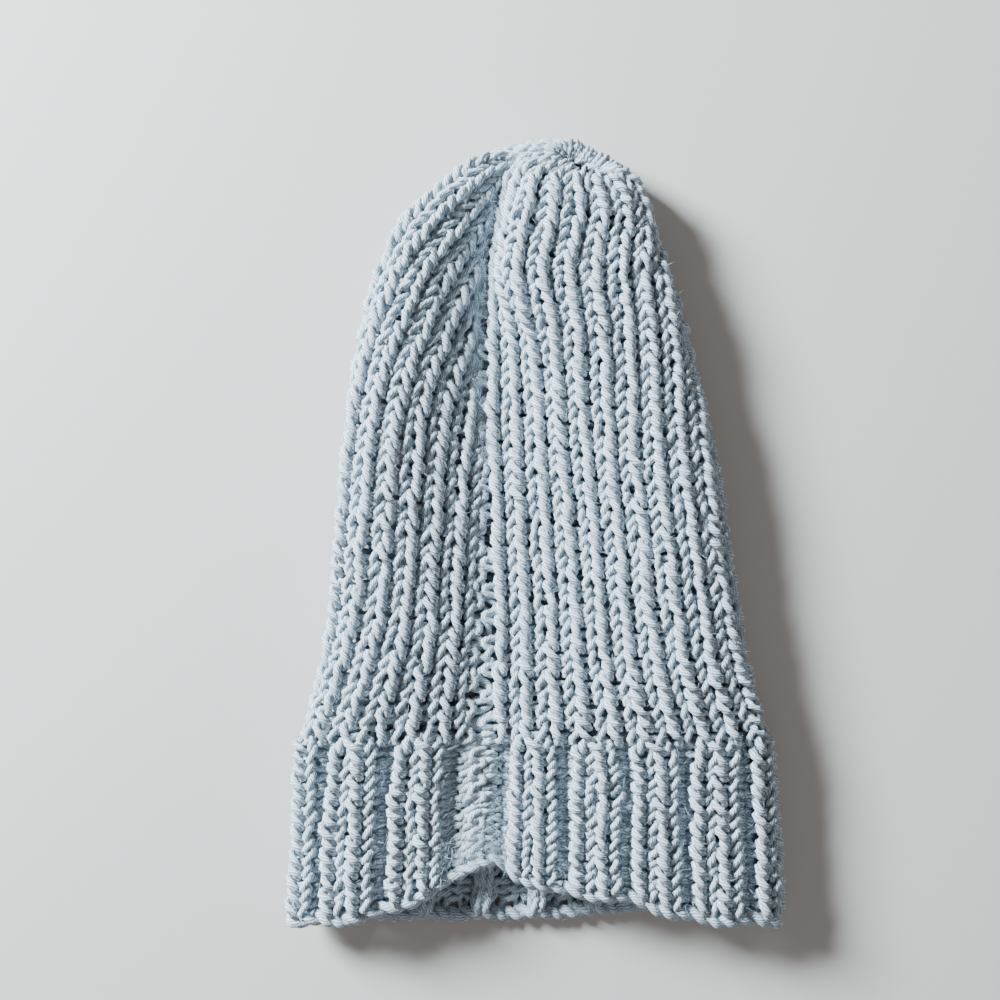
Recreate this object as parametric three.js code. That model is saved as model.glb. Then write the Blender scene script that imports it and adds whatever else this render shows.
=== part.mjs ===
import * as THREE from "three";

// A hand-knitted slouchy cap lying flat on its back. X runs across it, Y from the hem to the crown, Z up
// from the surface that it rests on. Millimetres.

// Knitted wall and the clearance between neighbouring pieces
const WALL = 4.4;
const GAP = 0.3;

// Lengths along Y, measured from the hem line
const BRIM_TOP = 64;
const CROWN_START = 236;
const LENGTH = 274.6;
const CROWN_LENGTH = LENGTH - CROWN_START;

// Place of the middle of the outline, which becomes the origin
const CENTRE_X = -0.2;
const CENTRE_Y = 137.19;

// Cross-sections of the outside, a row for each height above the hem.
// left, right: the two fold edges. high: height of the cap. fold: where the centre fold runs.
// deep: its depth. reachL, reachR: how far its flanks run. lean: how far its right lip leans over it.
const SECTIONS = [
  { y: 0.0, left: -87.8, right: 87.0, high: 23.0, fold: -20.0, deep: 3.5, reachL: 48, reachR: 56, lean: 0.0 },
  { y: 21.0, left: -85.9, right: 86.3, high: 22.5, fold: -20.0, deep: 4.2, reachL: 48, reachR: 56, lean: 0.0 },
  { y: 42.0, left: -85.3, right: 84.8, high: 22.5, fold: -19.5, deep: 4.8, reachL: 50, reachR: 58, lean: 0.0 },
  { y: 63.0, left: -83.3, right: 83.3, high: 23.0, fold: -19.0, deep: 5.6, reachL: 50, reachR: 60, lean: 0.0 },
  { y: 77.0, left: -79.1, right: 79.4, high: 24.0, fold: -18.5, deep: 6.8, reachL: 48, reachR: 64, lean: 0.0 },
  { y: 91.0, left: -75.3, right: 75.0, high: 24.8, fold: -18.0, deep: 7.5, reachL: 46, reachR: 66, lean: 0.0 },
  { y: 112.0, left: -72.2, right: 71.5, high: 25.0, fold: -17.5, deep: 8.6, reachL: 46, reachR: 56, lean: 0.0 },
  { y: 140.0, left: -70.6, right: 67.5, high: 25.0, fold: -17.5, deep: 9.4, reachL: 45, reachR: 44, lean: 0.5 },
  { y: 168.0, left: -68.3, right: 63.2, high: 25.0, fold: -18.0, deep: 10.2, reachL: 44, reachR: 28, lean: 1.5 },
  { y: 189.0, left: -65.6, right: 58.5, high: 25.0, fold: -18.0, deep: 10.6, reachL: 42, reachR: 17, lean: 3.0 },
  { y: 210.0, left: -61.0, right: 53.4, high: 25.0, fold: -17.5, deep: 10.8, reachL: 38, reachR: 12, lean: 3.5 },
  { y: 224.0, left: -57.0, right: 48.6, high: 24.8, fold: -17.0, deep: 10.8, reachL: 35, reachR: 11, lean: 3.5 },
  { y: 236.0, left: -52.8, right: 44.6, high: 24.4, fold: -15.5, deep: 10.6, reachL: 32, reachR: 10, lean: 3.5 },
  { y: 245.0, left: -48.6, right: 42.4, high: 24.0, fold: -14.0, deep: 10.2, reachL: 29, reachR: 9, lean: 3.0 },
  { y: 252.0, left: -41.8, right: 40.0, high: 23.6, fold: -13.0, deep: 9.6, reachL: 25, reachR: 9, lean: 2.5 },
  { y: 259.0, left: -33.0, right: 36.6, high: 23.0, fold: -12.0, deep: 8.6, reachL: 19, reachR: 9, lean: 2.0 },
  { y: 266.0, left: -24.0, right: 30.5, high: 22.4, fold: -11.0, deep: 6.9, reachL: 12, reachR: 9, lean: 1.0 },
  { y: 270.5, left: -13.5, right: 22.5, high: 22.0, fold: -7.0, deep: 5.0, reachL: 8, reachR: 8, lean: 0.5 },
  { y: 274.6, left: 11.0, right: 11.0, high: 22.0, fold: 11.0, deep: 2.0, reachL: 6, reachR: 6, lean: 0.0 },
];
const SQUARENESS = 2.7;
const UNDERSIDE_FULLNESS = 1.14;

// Rise of the hem line, by the share of the way round from the centre fold towards the right
const HEM = [
  { turn: 0.0, rise: 19.0 },
  { turn: 0.02, rise: 19.5 },
  { turn: 0.036, rise: 15.0 },
  { turn: 0.05, rise: 13.6 },
  { turn: 0.08, rise: 10.8 },
  { turn: 0.11, rise: 9.5 },
  { turn: 0.16, rise: 7.6 },
  { turn: 0.19, rise: 3.6 },
  { turn: 0.22, rise: 1.8 },
  { turn: 0.26, rise: 0.3 },
  { turn: 0.38, rise: 0.0 },
  { turn: 0.44, rise: 3.6 },
  { turn: 0.49, rise: 3.2 },
  { turn: 0.54, rise: 0.6 },
  { turn: 0.7, rise: 0.0 },
  { turn: 0.84, rise: 0.0 },
  { turn: 0.9, rise: 3.0 },
  { turn: 0.94, rise: 8.0 },
  { turn: 0.97, rise: 13.0 },
  { turn: 0.99, rise: 17.0 },
  { turn: 1.0, rise: 19.0 },
];

// Ribbed band: two-and-two ribs, with the place of one rib taken by the seam
const RIB_SLOTS = 17;
const RIB_DEPTH = 1.9;
const RIB_FADE = 9;

// Crown: the wales are drawn up to a point just over the top edge, on the front, right of the middle
const GATHER_TILT = THREE.MathUtils.degToRad(37);
const GATHER_TURN = THREE.MathUtils.degToRad(105);
const GATHER_START = 0.3;
const CROWN_RING = THREE.MathUtils.degToRad(77);
const TIE_RING = THREE.MathUtils.degToRad(85);
const TIE_RADIUS = 0.8;
const CRATER_DEPTH = 3.0;
const CRATER_WIDTH = THREE.MathUtils.degToRad(16);

// Cast-on edge and seam strand
const EDGE_RADIUS = 2.1;
const SEAM_RADIUS = 1.4;
const SEAM_TURN = -0.004;

// Facets
const BODY_AROUND = 64;
const BODY_TUBE_ROWS = 15;
const BODY_CROWN_ROWS = 10;
const BRIM_AROUND = RIB_SLOTS * 5;
const BRIM_ROWS = 5;
const EDGE_AROUND = BRIM_AROUND;
const SEAM_STEPS = 34;
const TUBE_SIDES = 6;
const SECTION_SAMPLES = 240;

const YARN_COLOUR = 0x9fabb4;

// Distance along the side view, which goes on evenly over the rounded crown
function station(y) {
  if (y <= CROWN_START) return y;
  return CROWN_START + CROWN_LENGTH * Math.asin(Math.min(1, (y - CROWN_START) / CROWN_LENGTH));
}

// Smooth curve through the rows of a table
function readTable(rows, key, at, value) {
  const stops = rows.map(at);
  const heights = rows.map((row) => row[key]);
  const last = stops.length - 1;
  const x = Math.min(Math.max(value, stops[0]), stops[last]);
  let i = 0;
  while (i < last - 1 && x > stops[i + 1]) i += 1;
  const slope = (k) => {
    const a = Math.max(0, k - 1);
    const b = Math.min(last, k + 1);
    return (heights[b] - heights[a]) / (stops[b] - stops[a]);
  };
  const span = stops[i + 1] - stops[i];
  const q = (x - stops[i]) / span;
  const q2 = q * q;
  const q3 = q2 * q;
  return (2 * q3 - 3 * q2 + 1) * heights[i] + (q3 - 2 * q2 + q) * span * slope(i)
    + (3 * q2 - 2 * q3) * heights[i + 1] + (q3 - q2) * span * slope(i + 1);
}

function smooth(q) {
  const c = Math.min(1, Math.max(0, q));
  return c * c * (3 - 2 * c);
}

const rowCache = new Map();
function sectionRow(s) {
  const name = s.toFixed(4);
  if (!rowCache.has(name)) {
    const row = {};
    for (const key of ["left", "right", "high", "fold", "deep", "reachL", "reachR", "lean"]) {
      row[key] = readTable(SECTIONS, key, (r) => station(r.y), s);
    }
    rowCache.set(name, row);
  }
  return rowCache.get(name);
}

// One closed cross-section, sampled from the bottom of the centre fold round by the right.
// s: station. cap: 1 on the tube, falling to 0 at the crown's tip. inset: depth below the outside.
const sectionCache = new Map();
function section(s, cap, inset) {
  const name = `${s.toFixed(3)} ${cap.toFixed(4)} ${inset.toFixed(4)}`;
  if (sectionCache.has(name)) return sectionCache.get(name);
  const row = sectionRow(s);
  const middle = (row.left + row.right) / 2;
  const halfX = Math.max(0.02, (row.right - row.left) / 2 - inset * cap * cap);
  const centreZ = row.high / 2;
  const halfZ = (row.high / 2 - inset) * cap;
  const across = Math.min(0.98, Math.max(-0.98, (row.fold - middle) / halfX));
  const up = Math.pow(1 - Math.pow(Math.abs(across), SQUARENESS), 1 / SQUARENESS);
  const start = Math.atan2(across, up);
  const points = [];
  let length = 0;
  for (let i = 0; i <= SECTION_SAMPLES; i += 1) {
    const a = start + (2 * Math.PI * i) / SECTION_SAMPLES;
    const sin = Math.sin(a);
    const cos = Math.cos(a);
    const round = Math.pow(
      Math.pow(Math.abs(sin), SQUARENESS) + Math.pow(Math.abs(cos), SQUARENESS), -1 / SQUARENESS);
    let x = middle + halfX * round * sin;
    let z = centreZ + halfZ * round * cos;
    if (cos < 0) {
      z = Math.max(inset, centreZ + UNDERSIDE_FULLNESS * halfZ * round * cos);
    } else {
      const off = x - row.fold;
      const q = off < 0 ? -off / row.reachL : Math.max(0, off - 0.8 * inset * cap) / row.reachR;
      const dip = 1 - smooth(q);
      z -= row.deep * cap * dip;
      if (off > 0) x -= row.lean * cap * (1 - dip) * Math.exp(-Math.pow(off / (3 * row.reachR), 2));
    }
    if (i > 0) {
      const p = points[i - 1];
      length += Math.hypot(x - p.x, z - p.z);
    }
    points.push({ x, z, length });
  }
  sectionCache.set(name, points);
  return points;
}

function alongSection(points, turn) {
  const t = turn - Math.floor(turn);
  const want = t * points[points.length - 1].length;
  let low = 0;
  let high = points.length - 1;
  while (high - low > 1) {
    const mid = (low + high) >> 1;
    if (points[mid].length > want) high = mid;
    else low = mid;
  }
  const a = points[low];
  const b = points[high];
  const q = (want - a.length) / Math.max(1e-9, b.length - a.length);
  return { x: a.x + (b.x - a.x) * q, z: a.z + (b.z - a.z) * q };
}

// Point on the tube: y above the hem line, turn round from the centre fold, inset below the outside
function tubePoint(y, turn, inset) {
  const p = alongSection(section(station(y), 1, inset), turn);
  return new THREE.Vector3(p.x - CENTRE_X, y - CENTRE_Y, p.z);
}

// Point on the crown. climb: 0 where the tube ends, a quarter turn at the gather. The direction on a
// ball is tipped more and more towards the gather, then laid on the flattened sections of the outline.
function crownPoint(climb, turn, inset) {
  const theta = 2 * Math.PI * turn;
  const n = new THREE.Vector3(
    Math.cos(climb) * Math.sin(theta), Math.sin(climb), Math.cos(climb) * Math.cos(theta));
  const axis = new THREE.Vector3(Math.cos(GATHER_TURN), 0, -Math.sin(GATHER_TURN));
  const share = (climb / (Math.PI / 2) - GATHER_START) / (1 - GATHER_START);
  n.applyAxisAngle(axis, GATHER_TILT * smooth(share));
  const rise = Math.asin(Math.min(1, Math.max(-1, n.y)));
  const away = Math.PI / 2 - climb;
  const sunk = inset + CRATER_DEPTH * Math.exp(-Math.pow(away / CRATER_WIDTH, 2));
  const cap = rise > 0 ? Math.sqrt(Math.cos(rise)) : 1;
  const p = alongSection(
    section(CROWN_START + CROWN_LENGTH * rise, cap, sunk), Math.atan2(n.x, n.z) / (2 * Math.PI));
  const y = CROWN_START + (CROWN_LENGTH - sunk) * Math.sin(rise);
  return new THREE.Vector3(p.x - CENTRE_X, y - CENTRE_Y, p.z);
}

// Closed shell from an outer and an inner grid of the same size, joined at both open ends.
// Each row of a grid runs round by the right, and the rows climb towards the crown.
function shellGeometry(outer, inner) {
  const rows = outer.length;
  const around = outer[0].length;
  const positions = [];
  for (const grid of [outer, inner]) {
    for (const row of grid) for (const p of row) positions.push(p.x, p.y, p.z);
  }
  const at = (side, row, k) => side * rows * around + row * around + (k % around);
  const index = [];
  const quad = (a, b, c, d) => index.push(a, b, c, a, c, d);
  for (let r = 0; r < rows - 1; r += 1) {
    for (let k = 0; k < around; k += 1) {
      quad(at(0, r, k), at(0, r, k + 1), at(0, r + 1, k + 1), at(0, r + 1, k));
      quad(at(1, r, k), at(1, r + 1, k), at(1, r + 1, k + 1), at(1, r, k + 1));
    }
  }
  for (let k = 0; k < around; k += 1) {
    quad(at(0, 0, k), at(1, 0, k), at(1, 0, k + 1), at(0, 0, k + 1));
    quad(at(0, rows - 1, k), at(0, rows - 1, k + 1), at(1, rows - 1, k + 1), at(1, rows - 1, k));
  }
  return meshData(positions, index);
}

// Tube of round section along a path, closed in a ring or with flat ends
function tubeGeometry(path, normals, radius, closed) {
  const count = path.length;
  const positions = [];
  const index = [];
  for (let i = 0; i < count; i += 1) {
    const before = path[closed ? (i + count - 1) % count : Math.max(0, i - 1)];
    const after = path[closed ? (i + 1) % count : Math.min(count - 1, i + 1)];
    const forward = after.clone().sub(before).normalize();
    const side = forward.clone().cross(normals[i]).normalize();
    const up = side.clone().cross(forward).normalize();
    for (let k = 0; k < TUBE_SIDES; k += 1) {
      const a = (2 * Math.PI * k) / TUBE_SIDES;
      const p = path[i].clone().addScaledVector(side, radius * Math.cos(a))
        .addScaledVector(up, radius * Math.sin(a));
      positions.push(p.x, p.y, p.z);
    }
  }
  const at = (i, k) => (i % count) * TUBE_SIDES + (k % TUBE_SIDES);
  for (let i = 0; i < (closed ? count : count - 1); i += 1) {
    for (let k = 0; k < TUBE_SIDES; k += 1) {
      index.push(at(i, k), at(i, k + 1), at(i + 1, k + 1), at(i, k), at(i + 1, k + 1), at(i + 1, k));
    }
  }
  if (!closed) {
    for (let k = 1; k < TUBE_SIDES - 1; k += 1) {
      index.push(at(0, 0), at(0, k + 1), at(0, k));
      index.push(at(count - 1, 0), at(count - 1, k), at(count - 1, k + 1));
    }
  }
  return meshData(positions, index);
}

function meshData(positions, index) {
  const geometry = new THREE.BufferGeometry();
  geometry.setAttribute("position", new THREE.Float32BufferAttribute(positions, 3));
  geometry.setIndex(index);
  let volume = 0;
  const p = (k) => new THREE.Vector3().fromArray(positions, 3 * k);
  for (let i = 0; i < index.length; i += 3) {
    volume += p(index[i]).dot(p(index[i + 1]).cross(p(index[i + 2]))) / 6;
  }
  if (volume < 0) {
    for (let i = 0; i < index.length; i += 3) [index[i], index[i + 1]] = [index[i + 1], index[i]];
    geometry.setIndex(index);
  }
  geometry.computeVertexNormals();
  return geometry;
}

function hemRise(turn) {
  return readTable(HEM, "rise", (row) => row.turn, turn - Math.floor(turn));
}

// How far the ribbed band lies below the outside: nothing on a rib, the rib depth between two ribs
// and over the whole slot of the seam. The ribs fade out just under the body.
function ribInset(y, turn) {
  const slot = RIB_SLOTS * (turn - Math.floor(turn));
  const off = Math.abs(slot - Math.round(slot));
  const between = Math.round(slot) % RIB_SLOTS === 0 ? 1 : smooth((off - 0.22) / 0.2);
  return RIB_DEPTH * between * smooth((BRIM_TOP - y) / RIB_FADE);
}

function bodyGrid(inset) {
  const grid = [];
  const bottom = BRIM_TOP + GAP / 2;
  for (let r = 0; r <= BODY_TUBE_ROWS; r += 1) {
    const y = bottom + ((CROWN_START - bottom) * r) / BODY_TUBE_ROWS;
    grid.push(Array.from({ length: BODY_AROUND }, (_, k) => tubePoint(y, k / BODY_AROUND, inset)));
  }
  for (let r = 1; r <= BODY_CROWN_ROWS; r += 1) {
    const climb = (CROWN_RING * r) / BODY_CROWN_ROWS;
    grid.push(Array.from({ length: BODY_AROUND }, (_, k) => crownPoint(climb, k / BODY_AROUND, inset)));
  }
  return grid;
}

function brimGrid(inset) {
  const grid = [];
  for (let r = 0; r <= BRIM_ROWS; r += 1) {
    grid.push(Array.from({ length: BRIM_AROUND }, (_, k) => {
      const turn = k / BRIM_AROUND;
      const low = hemRise(turn) + 2 * EDGE_RADIUS + 2 * GAP;
      const y = low + ((BRIM_TOP - GAP / 2 - low) * r) / BRIM_ROWS;
      return tubePoint(y, turn, inset + ribInset(y, turn));
    }));
  }
  return grid;
}

function castOnEdge() {
  const path = [];
  const normals = [];
  for (let k = 0; k < EDGE_AROUND; k += 1) {
    const turn = k / EDGE_AROUND;
    const y = hemRise(turn) + EDGE_RADIUS;
    path.push(tubePoint(y, turn, EDGE_RADIUS + ribInset(y, turn)));
    normals.push(new THREE.Vector3(0, 1, 0));
  }
  return tubeGeometry(path, normals, EDGE_RADIUS, true);
}

// Strand of the seam, laid in the centre fold just clear of the wall, a little to the left of its bottom
function seamStrand() {
  const path = [];
  const normals = [];
  const first = hemRise(0) + 2 * EDGE_RADIUS + 2;
  for (let i = 0; i <= SEAM_STEPS; i += 1) {
    const q = i / SEAM_STEPS;
    const crownShare = 0.2;
    const onTube = q < 1 - crownShare;
    const y = first + ((CROWN_START - first) * q) / (1 - crownShare);
    const climb = ((q - 1 + crownShare) / crownShare) * THREE.MathUtils.degToRad(60);
    const at = (turn, step) => (onTube
      ? tubePoint(y + step, turn, ribInset(y + step, turn))
      : crownPoint(climb + step / CROWN_LENGTH, turn, 0));
    const across = at(SEAM_TURN + 0.004, 0).sub(at(SEAM_TURN - 0.004, 0));
    const along = at(SEAM_TURN, 0.5).sub(at(SEAM_TURN, -0.5));
    const out = across.cross(along).normalize();
    path.push(at(SEAM_TURN, 0).addScaledVector(out, SEAM_RADIUS + GAP + 0.25));
    normals.push(out);
  }
  return tubeGeometry(path, normals, SEAM_RADIUS, false);
}

// Drawn-up yarn that closes the crown
function crownTie() {
  const path = [];
  const normals = [];
  const count = 18;
  for (let k = 0; k < count; k += 1) {
    const turn = k / count;
    const p = crownPoint(TIE_RING, turn, WALL / 2);
    path.push(p);
    normals.push(p.clone().sub(crownPoint(TIE_RING, turn, WALL / 2 + 1)).normalize());
  }
  return tubeGeometry(path, normals, TIE_RADIUS, true);
}

function piece(name, geometry) {
  const material = new THREE.MeshStandardMaterial({ color: YARN_COLOUR, roughness: 0.95, metalness: 0 });
  const mesh = new THREE.Mesh(geometry, material);
  mesh.name = name;
  return mesh;
}

const cap = new THREE.Group();
cap.name = "beanie";
cap.add(
  piece("body", shellGeometry(bodyGrid(0), bodyGrid(WALL))),
  piece("brim", shellGeometry(brimGrid(0), brimGrid(WALL))),
  piece("cast_on_edge", castOnEdge()),
  piece("seam", seamStrand()),
  piece("crown_tie", crownTie()),
);

export default cap;
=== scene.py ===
import math
import bpy
import numpy as np
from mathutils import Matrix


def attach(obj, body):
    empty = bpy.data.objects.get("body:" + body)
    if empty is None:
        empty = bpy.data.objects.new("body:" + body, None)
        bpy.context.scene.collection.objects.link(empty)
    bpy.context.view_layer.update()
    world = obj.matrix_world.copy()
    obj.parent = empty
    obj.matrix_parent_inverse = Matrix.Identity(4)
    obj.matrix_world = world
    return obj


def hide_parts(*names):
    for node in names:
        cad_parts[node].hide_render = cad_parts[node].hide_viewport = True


bl_info = {
    "name": "Knitted beanie",
    "version": (1, 0, 0),
    "blender": (4, 5, 0),
    "location": "3D View > Sidebar > Beanie",
    "description": "Makes the yarn, stitches and edges of a hand-knitted beanie that lies flat",
    "category": "Object",
}

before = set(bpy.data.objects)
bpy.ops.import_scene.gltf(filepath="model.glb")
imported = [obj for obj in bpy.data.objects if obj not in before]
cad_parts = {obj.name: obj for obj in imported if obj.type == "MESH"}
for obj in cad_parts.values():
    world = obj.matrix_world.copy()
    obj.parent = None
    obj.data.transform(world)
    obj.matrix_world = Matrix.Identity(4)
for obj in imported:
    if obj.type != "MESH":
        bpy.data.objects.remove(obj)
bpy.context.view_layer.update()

MM = 0.001

# Lengths along Y, measured from the hem line, in millimetres, and the middle of the outline
BRIM_TOP = 64.0
CROWN_START = 236.0
LENGTH = 274.6
CROWN_LENGTH = LENGTH - CROWN_START
CENTRE_X = -0.2
CENTRE_Y = 137.19

# Cross-sections of the cap's outside, in millimetres: place along Y, left and right end, height, place
# and depth of the centre fold, its reach to either side, and the lean of its right lip
SECTION_KEYS = ("y", "left", "right", "high", "fold", "deep", "reach_l", "reach_r", "lean")
SECTIONS = (
    (0.0, -87.8, 87.0, 23.0, -20.0, 3.5, 48, 56, 0.0),
    (21.0, -85.9, 86.3, 22.5, -20.0, 4.2, 48, 56, 0.0),
    (42.0, -85.3, 84.8, 22.5, -19.5, 4.8, 50, 58, 0.0),
    (63.0, -83.3, 83.3, 23.0, -19.0, 5.6, 50, 60, 0.0),
    (77.0, -79.1, 79.4, 24.0, -18.5, 6.8, 48, 64, 0.0),
    (91.0, -75.3, 75.0, 24.8, -18.0, 7.8, 46, 72, 0.0),
    (112.0, -72.2, 71.5, 25.0, -17.5, 9.8, 46, 74, 0.0),
    (140.0, -70.6, 67.5, 25.0, -17.5, 11.4, 45, 72, 0.3),
    (168.0, -68.3, 63.2, 25.0, -18.0, 12.6, 43, 64, 0.6),
    (189.0, -65.6, 58.5, 25.0, -18.0, 13.2, 40, 46, 1.5),
    (210.0, -61.0, 53.4, 25.0, -17.5, 13.4, 35, 20, 3.0),
    (224.0, -57.0, 48.6, 24.8, -17.0, 13.2, 32, 10, 4.0),
    (236.0, -52.8, 44.6, 24.4, -15.5, 12.8, 30, 9, 4.0),
    (245.0, -48.6, 42.4, 24.0, -14.0, 12.2, 29, 8, 3.5),
    (252.0, -41.8, 40.0, 23.6, -13.0, 11.0, 25, 8, 3.0),
    (259.0, -33.0, 36.6, 23.0, -12.0, 9.6, 19, 8, 2.0),
    (266.0, -24.0, 30.5, 22.4, -11.0, 7.6, 12, 9, 1.0),
    (270.5, -13.5, 22.5, 22.0, -7.0, 5.0, 8, 8, 0.5),
    (274.6, 11.0, 11.0, 22.0, 11.0, 2.0, 6, 6, 0.0),
)

# Rounded box: its powers on the left and on the right, how much fuller its underside is, how far that
# stays over the inset and the least half width, in millimetres, and how near its ends the fold may lie
SQUARENESS = (2.7, 3.5)
UNDERSIDE_FULLNESS = 1.14
UNDERSIDE_RISE = 0.15
LEAST_HALF_WIDTH = 0.02
FOLD_LIMIT = 0.98

# Fold: power that steepens its left slope, share of the inset by which its right slope starts away
# from it, and reach of the lip's lean in reaches of that slope
LEFT_SLOPE_POWER = 0.78
RIGHT_SLOPE_START = 0.8
LEAN_REACH = 3

# Rise of the hem line: turn round the cap from the centre fold, millimetres
HEM = (
    (0.0, 19.0), (0.02, 19.5), (0.036, 15.0), (0.05, 13.6), (0.08, 10.8), (0.11, 9.5), (0.16, 7.6),
    (0.19, 3.6), (0.22, 1.8), (0.26, 0.3), (0.38, -1.0), (0.44, 1.8), (0.49, 0.8), (0.54, -0.8),
    (0.7, -1.2), (0.8, -0.4), (0.84, 0.0), (0.9, 3.0), (0.94, 8.0), (0.97, 13.0), (0.99, 17.0), (1.0, 19.0),
)

# Crown: the wales are drawn up to a point just over the top edge, on the front. Its tilt, its turn,
# the share of the climb after which the wales tip towards it, the crater there, in millimetres and as
# an angle, and the climb of the last row
GATHER_TILT = math.radians(37)
GATHER_TURN = math.radians(105)
GATHER_START = 0.3
CRATER_DEPTH = 5.2
CRATER_WIDTH = math.radians(18)
LAST_CLIMB = math.radians(74)

# Counts of wales, ribs and rows. A wale's place is counted to the right from the seam.
WALES = 34
RIB_SLOTS = 17
BRIM_ROWS = 14
BODY_ROWS = 47
TOP_ROW = BRIM_ROWS + BODY_ROWS

# Middle of the wall: its depth under the outside, the first row's height over the hem line and the
# lowest section, in millimetres, and the grid of rows and turns on which it is worked out
MID_INSET = 2.8
FIRST_ROW_RISE = 3.0
LOWEST_LEVEL = -4.0
GRID_FIRST = -1.5
GRID_PAST_TOP = 1.25
GRID_STEP = 0.25
GRID_TURNS = 640

# Sections that sample the band, the body and the crown, and those past the last row near the gather
BAND_LEVELS = 41
BODY_LEVELS = 121
CROWN_LEVELS = 46
PAST_TOP = 5
STEEPEST_CLIMB = math.radians(89)

# One stitch: depth in millimetres, height in rows, how far it opens and narrows in wales, and what its
# left leg has more than the mean: share of the narrowing, millimetres outward, share of the thickness
LOOP_DEPTH = 1.45
LOOP_HEIGHT = 0.86
LOOP_OPEN = 0.035
LOOP_NECK = 0.242
NECK_SKEW = 0.05
LEG_LIFT = 0.38
LEG_SWELL = 0.1

# What a loose row has more than the mean, and a tight row less: height, depth and thickness
ROW_TURN = 0.11
TURN_DEPTH = 0.09
TURN_SWELL = 0.03

# Spread of the chance in each stitch, and the rows from knot to knot of a wale's slow drift
CHANCE = {
    "drift": 0.075, "swing": 0.06, "neck": 0.03, "open": 0.025, "rise": 0.08,
    "depth": 0.1, "lift": 0.2, "level": 0.16, "swell": 0.05,
}
DRIFT_ROWS = 4

# Seeds of the chance in each piece
SEEDS = {"body": 11, "brim": 23, "seam": 5, "fuzz": 41}

# Yarn: samples to a stitch, sides of the tube and plies in it
SAMPLES = 16
SIDES = 10
PLIES = 7

# Width of a wale and height of a row, in millimetres, under which the yarn is pressed thinner, the
# least share that counts, and the clearance over the floor
FULL_WIDTH = 6.5
FULL_HEIGHT = 3.9
LEAST_WIDTH = 0.6
LEAST_HEIGHT = 0.7
PRESSED_POWER = 0.6
FLOOR_CLEARANCE = 0.1

# Places of the ribs' centres on the band: rib, counted to the right from the seam, and turn
RIB_TURNS = (
    (0.0, 0.0), (1.0, 0.0547), (2.0, 0.1187), (3.0, 0.1797), (4.0, 0.2391), (5.0, 0.303),
    (14.0, 0.811), (15.0, 0.8688), (16.0, 0.9375), (17.0, 1.0),
)

# Spread of the wales, by row: half the seam's gap as a turn, wales hidden under the fold's right lip,
# and width of a wale on the back against one on the front
SPREAD_KEYS = ("row", "gap", "hidden", "back")
SPREAD = (
    (0, 0.013, 0.0, 1.0), (14, 0.013, 0.0, 1.0), (24, 0.012, 0.0, 1.0), (30, 0.009, 0.0, 1.0),
    (36, 0.007, 0.3, 1.0), (42, 0.005, 1.3, 0.95), (48, 0.004, 2.6, 0.85), (53, 0.003, 4.0, 0.74),
    (57, 0.003, 5.3, 0.66), (61, 0.003, 7.0, 0.66),
)
FRONT_WALES = 8.0
BACK_WALES = 16.5

# Rows over which the wales leave the ribs' places, turn that the hidden wales share, the least of
# both that counts, how deep they lie under the fold, in millimetres, and where that sets in, in wales
BLEND_ROWS = 9
PRESSED_TURN = 0.012
LEAST_HIDDEN = 0.3
LEAST_PRESSED = 0.01
HIDDEN_DEPTH = 4.5
HIDDEN_START = 0.2
HIDDEN_REACH = 1.6

# Columns of the band: place from the rib's centre or the seam and width in wales, level in millimetres
# but for the recesses, and lean of the last row into the body's wales but for the seam
RIB_COLUMNS = ((-0.39, 0.78, 0.7, 0.26), (0.39, 0.78, 0.7, -0.26))
RECESS_COLUMNS = ((0.86, 0.28, 0.1), (1.14, 0.28, -0.1))
SEAM_COLUMN = (0.28, 0.56, -2.0)

# Level of the recesses' purl columns, in millimetres, and the ribs that lie on the back
FRONT_RECESS = -5.0
BACK_RECESS = -3.0
BACK_RIBS = range(5, 14)

# Pieces of the body and of the band: name, first row, and the row before which each ends
BODY_PARTS = (("body_knit_lower", 0, 16), ("body_knit_middle", 16, 32), ("body_knit_crown", 32, 47))
BRIM_PARTS = (("brim_rib_lower", 0, 7), ("brim_rib_upper", 7, 14))

# How much the necks of the band's loops are narrowed, in wales
BRIM_TAPER = 0.02

# Two rows, and the height in millimetres over which the front layer's yarn stays there, clear of the
# back layer
HOLLOW_ROWS = (13.0, 16.0)
HOLLOW_TOP = (8.8, 5.9)

# Strands of the seam: first and last row, rows to one zigzag, half its width in wales, depth in
# millimetres, and the angle in radians by which its rise is shifted
SEAM_STRANDS = (
    (0.8, TOP_ROW - 6, 2.7, 0.34, -1.6, 0.8),
    (0.8, TOP_ROW - 6, 1.9, 0.30, -2.6, 2.2),
    (0.9, BRIM_ROWS + 14, 3.3, 0.40, -1.2, 4.0),
    (1.4, BRIM_ROWS + 2, 3.1, 0.42, -2.2, 1.4),
)

# Samples to a row of them, rise in millimetres, share of a second wave, thickness against the yarn's,
# knots of their slow chance with its spread, and how much wider in wales and deeper in millimetres
# they lie on the band, each with the row where that starts to fade and the rows it takes
SEAM_SAMPLES = 20
SEAM_RISE = 1.0
SEAM_SECOND_WAVE = 0.25
SEAM_SWELL = 0.88
SEAM_KNOTS = 90
SEAM_CHANCE = {"wander": 0.16, "depth": 0.6, "skew": 0.5}
SEAM_WIDER = (0.2, 11, 5)
SEAM_DEEPER = (1.0, 12, 4)

# Round turn at the end of a course: samples, rise in millimetres, and reach in wales
TURN_SAMPLES = 8
TURN_LIFT = 1.6
BODY_BULGE = 0.45
BRIM_BULGE = 0.3

# Cast-on edge: samples to a wale, the strands' row and their depth in millimetres, each as its middle,
# its change with the ribs and its swing, and their thickness against the yarn's
EDGE_SAMPLES = 20
EDGE_ROW = (-0.38, -0.15, 0.34)
EDGE_DEPTH = (-0.9, 0.8, 1.5)
EDGE_SWELL = 1.12

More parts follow.
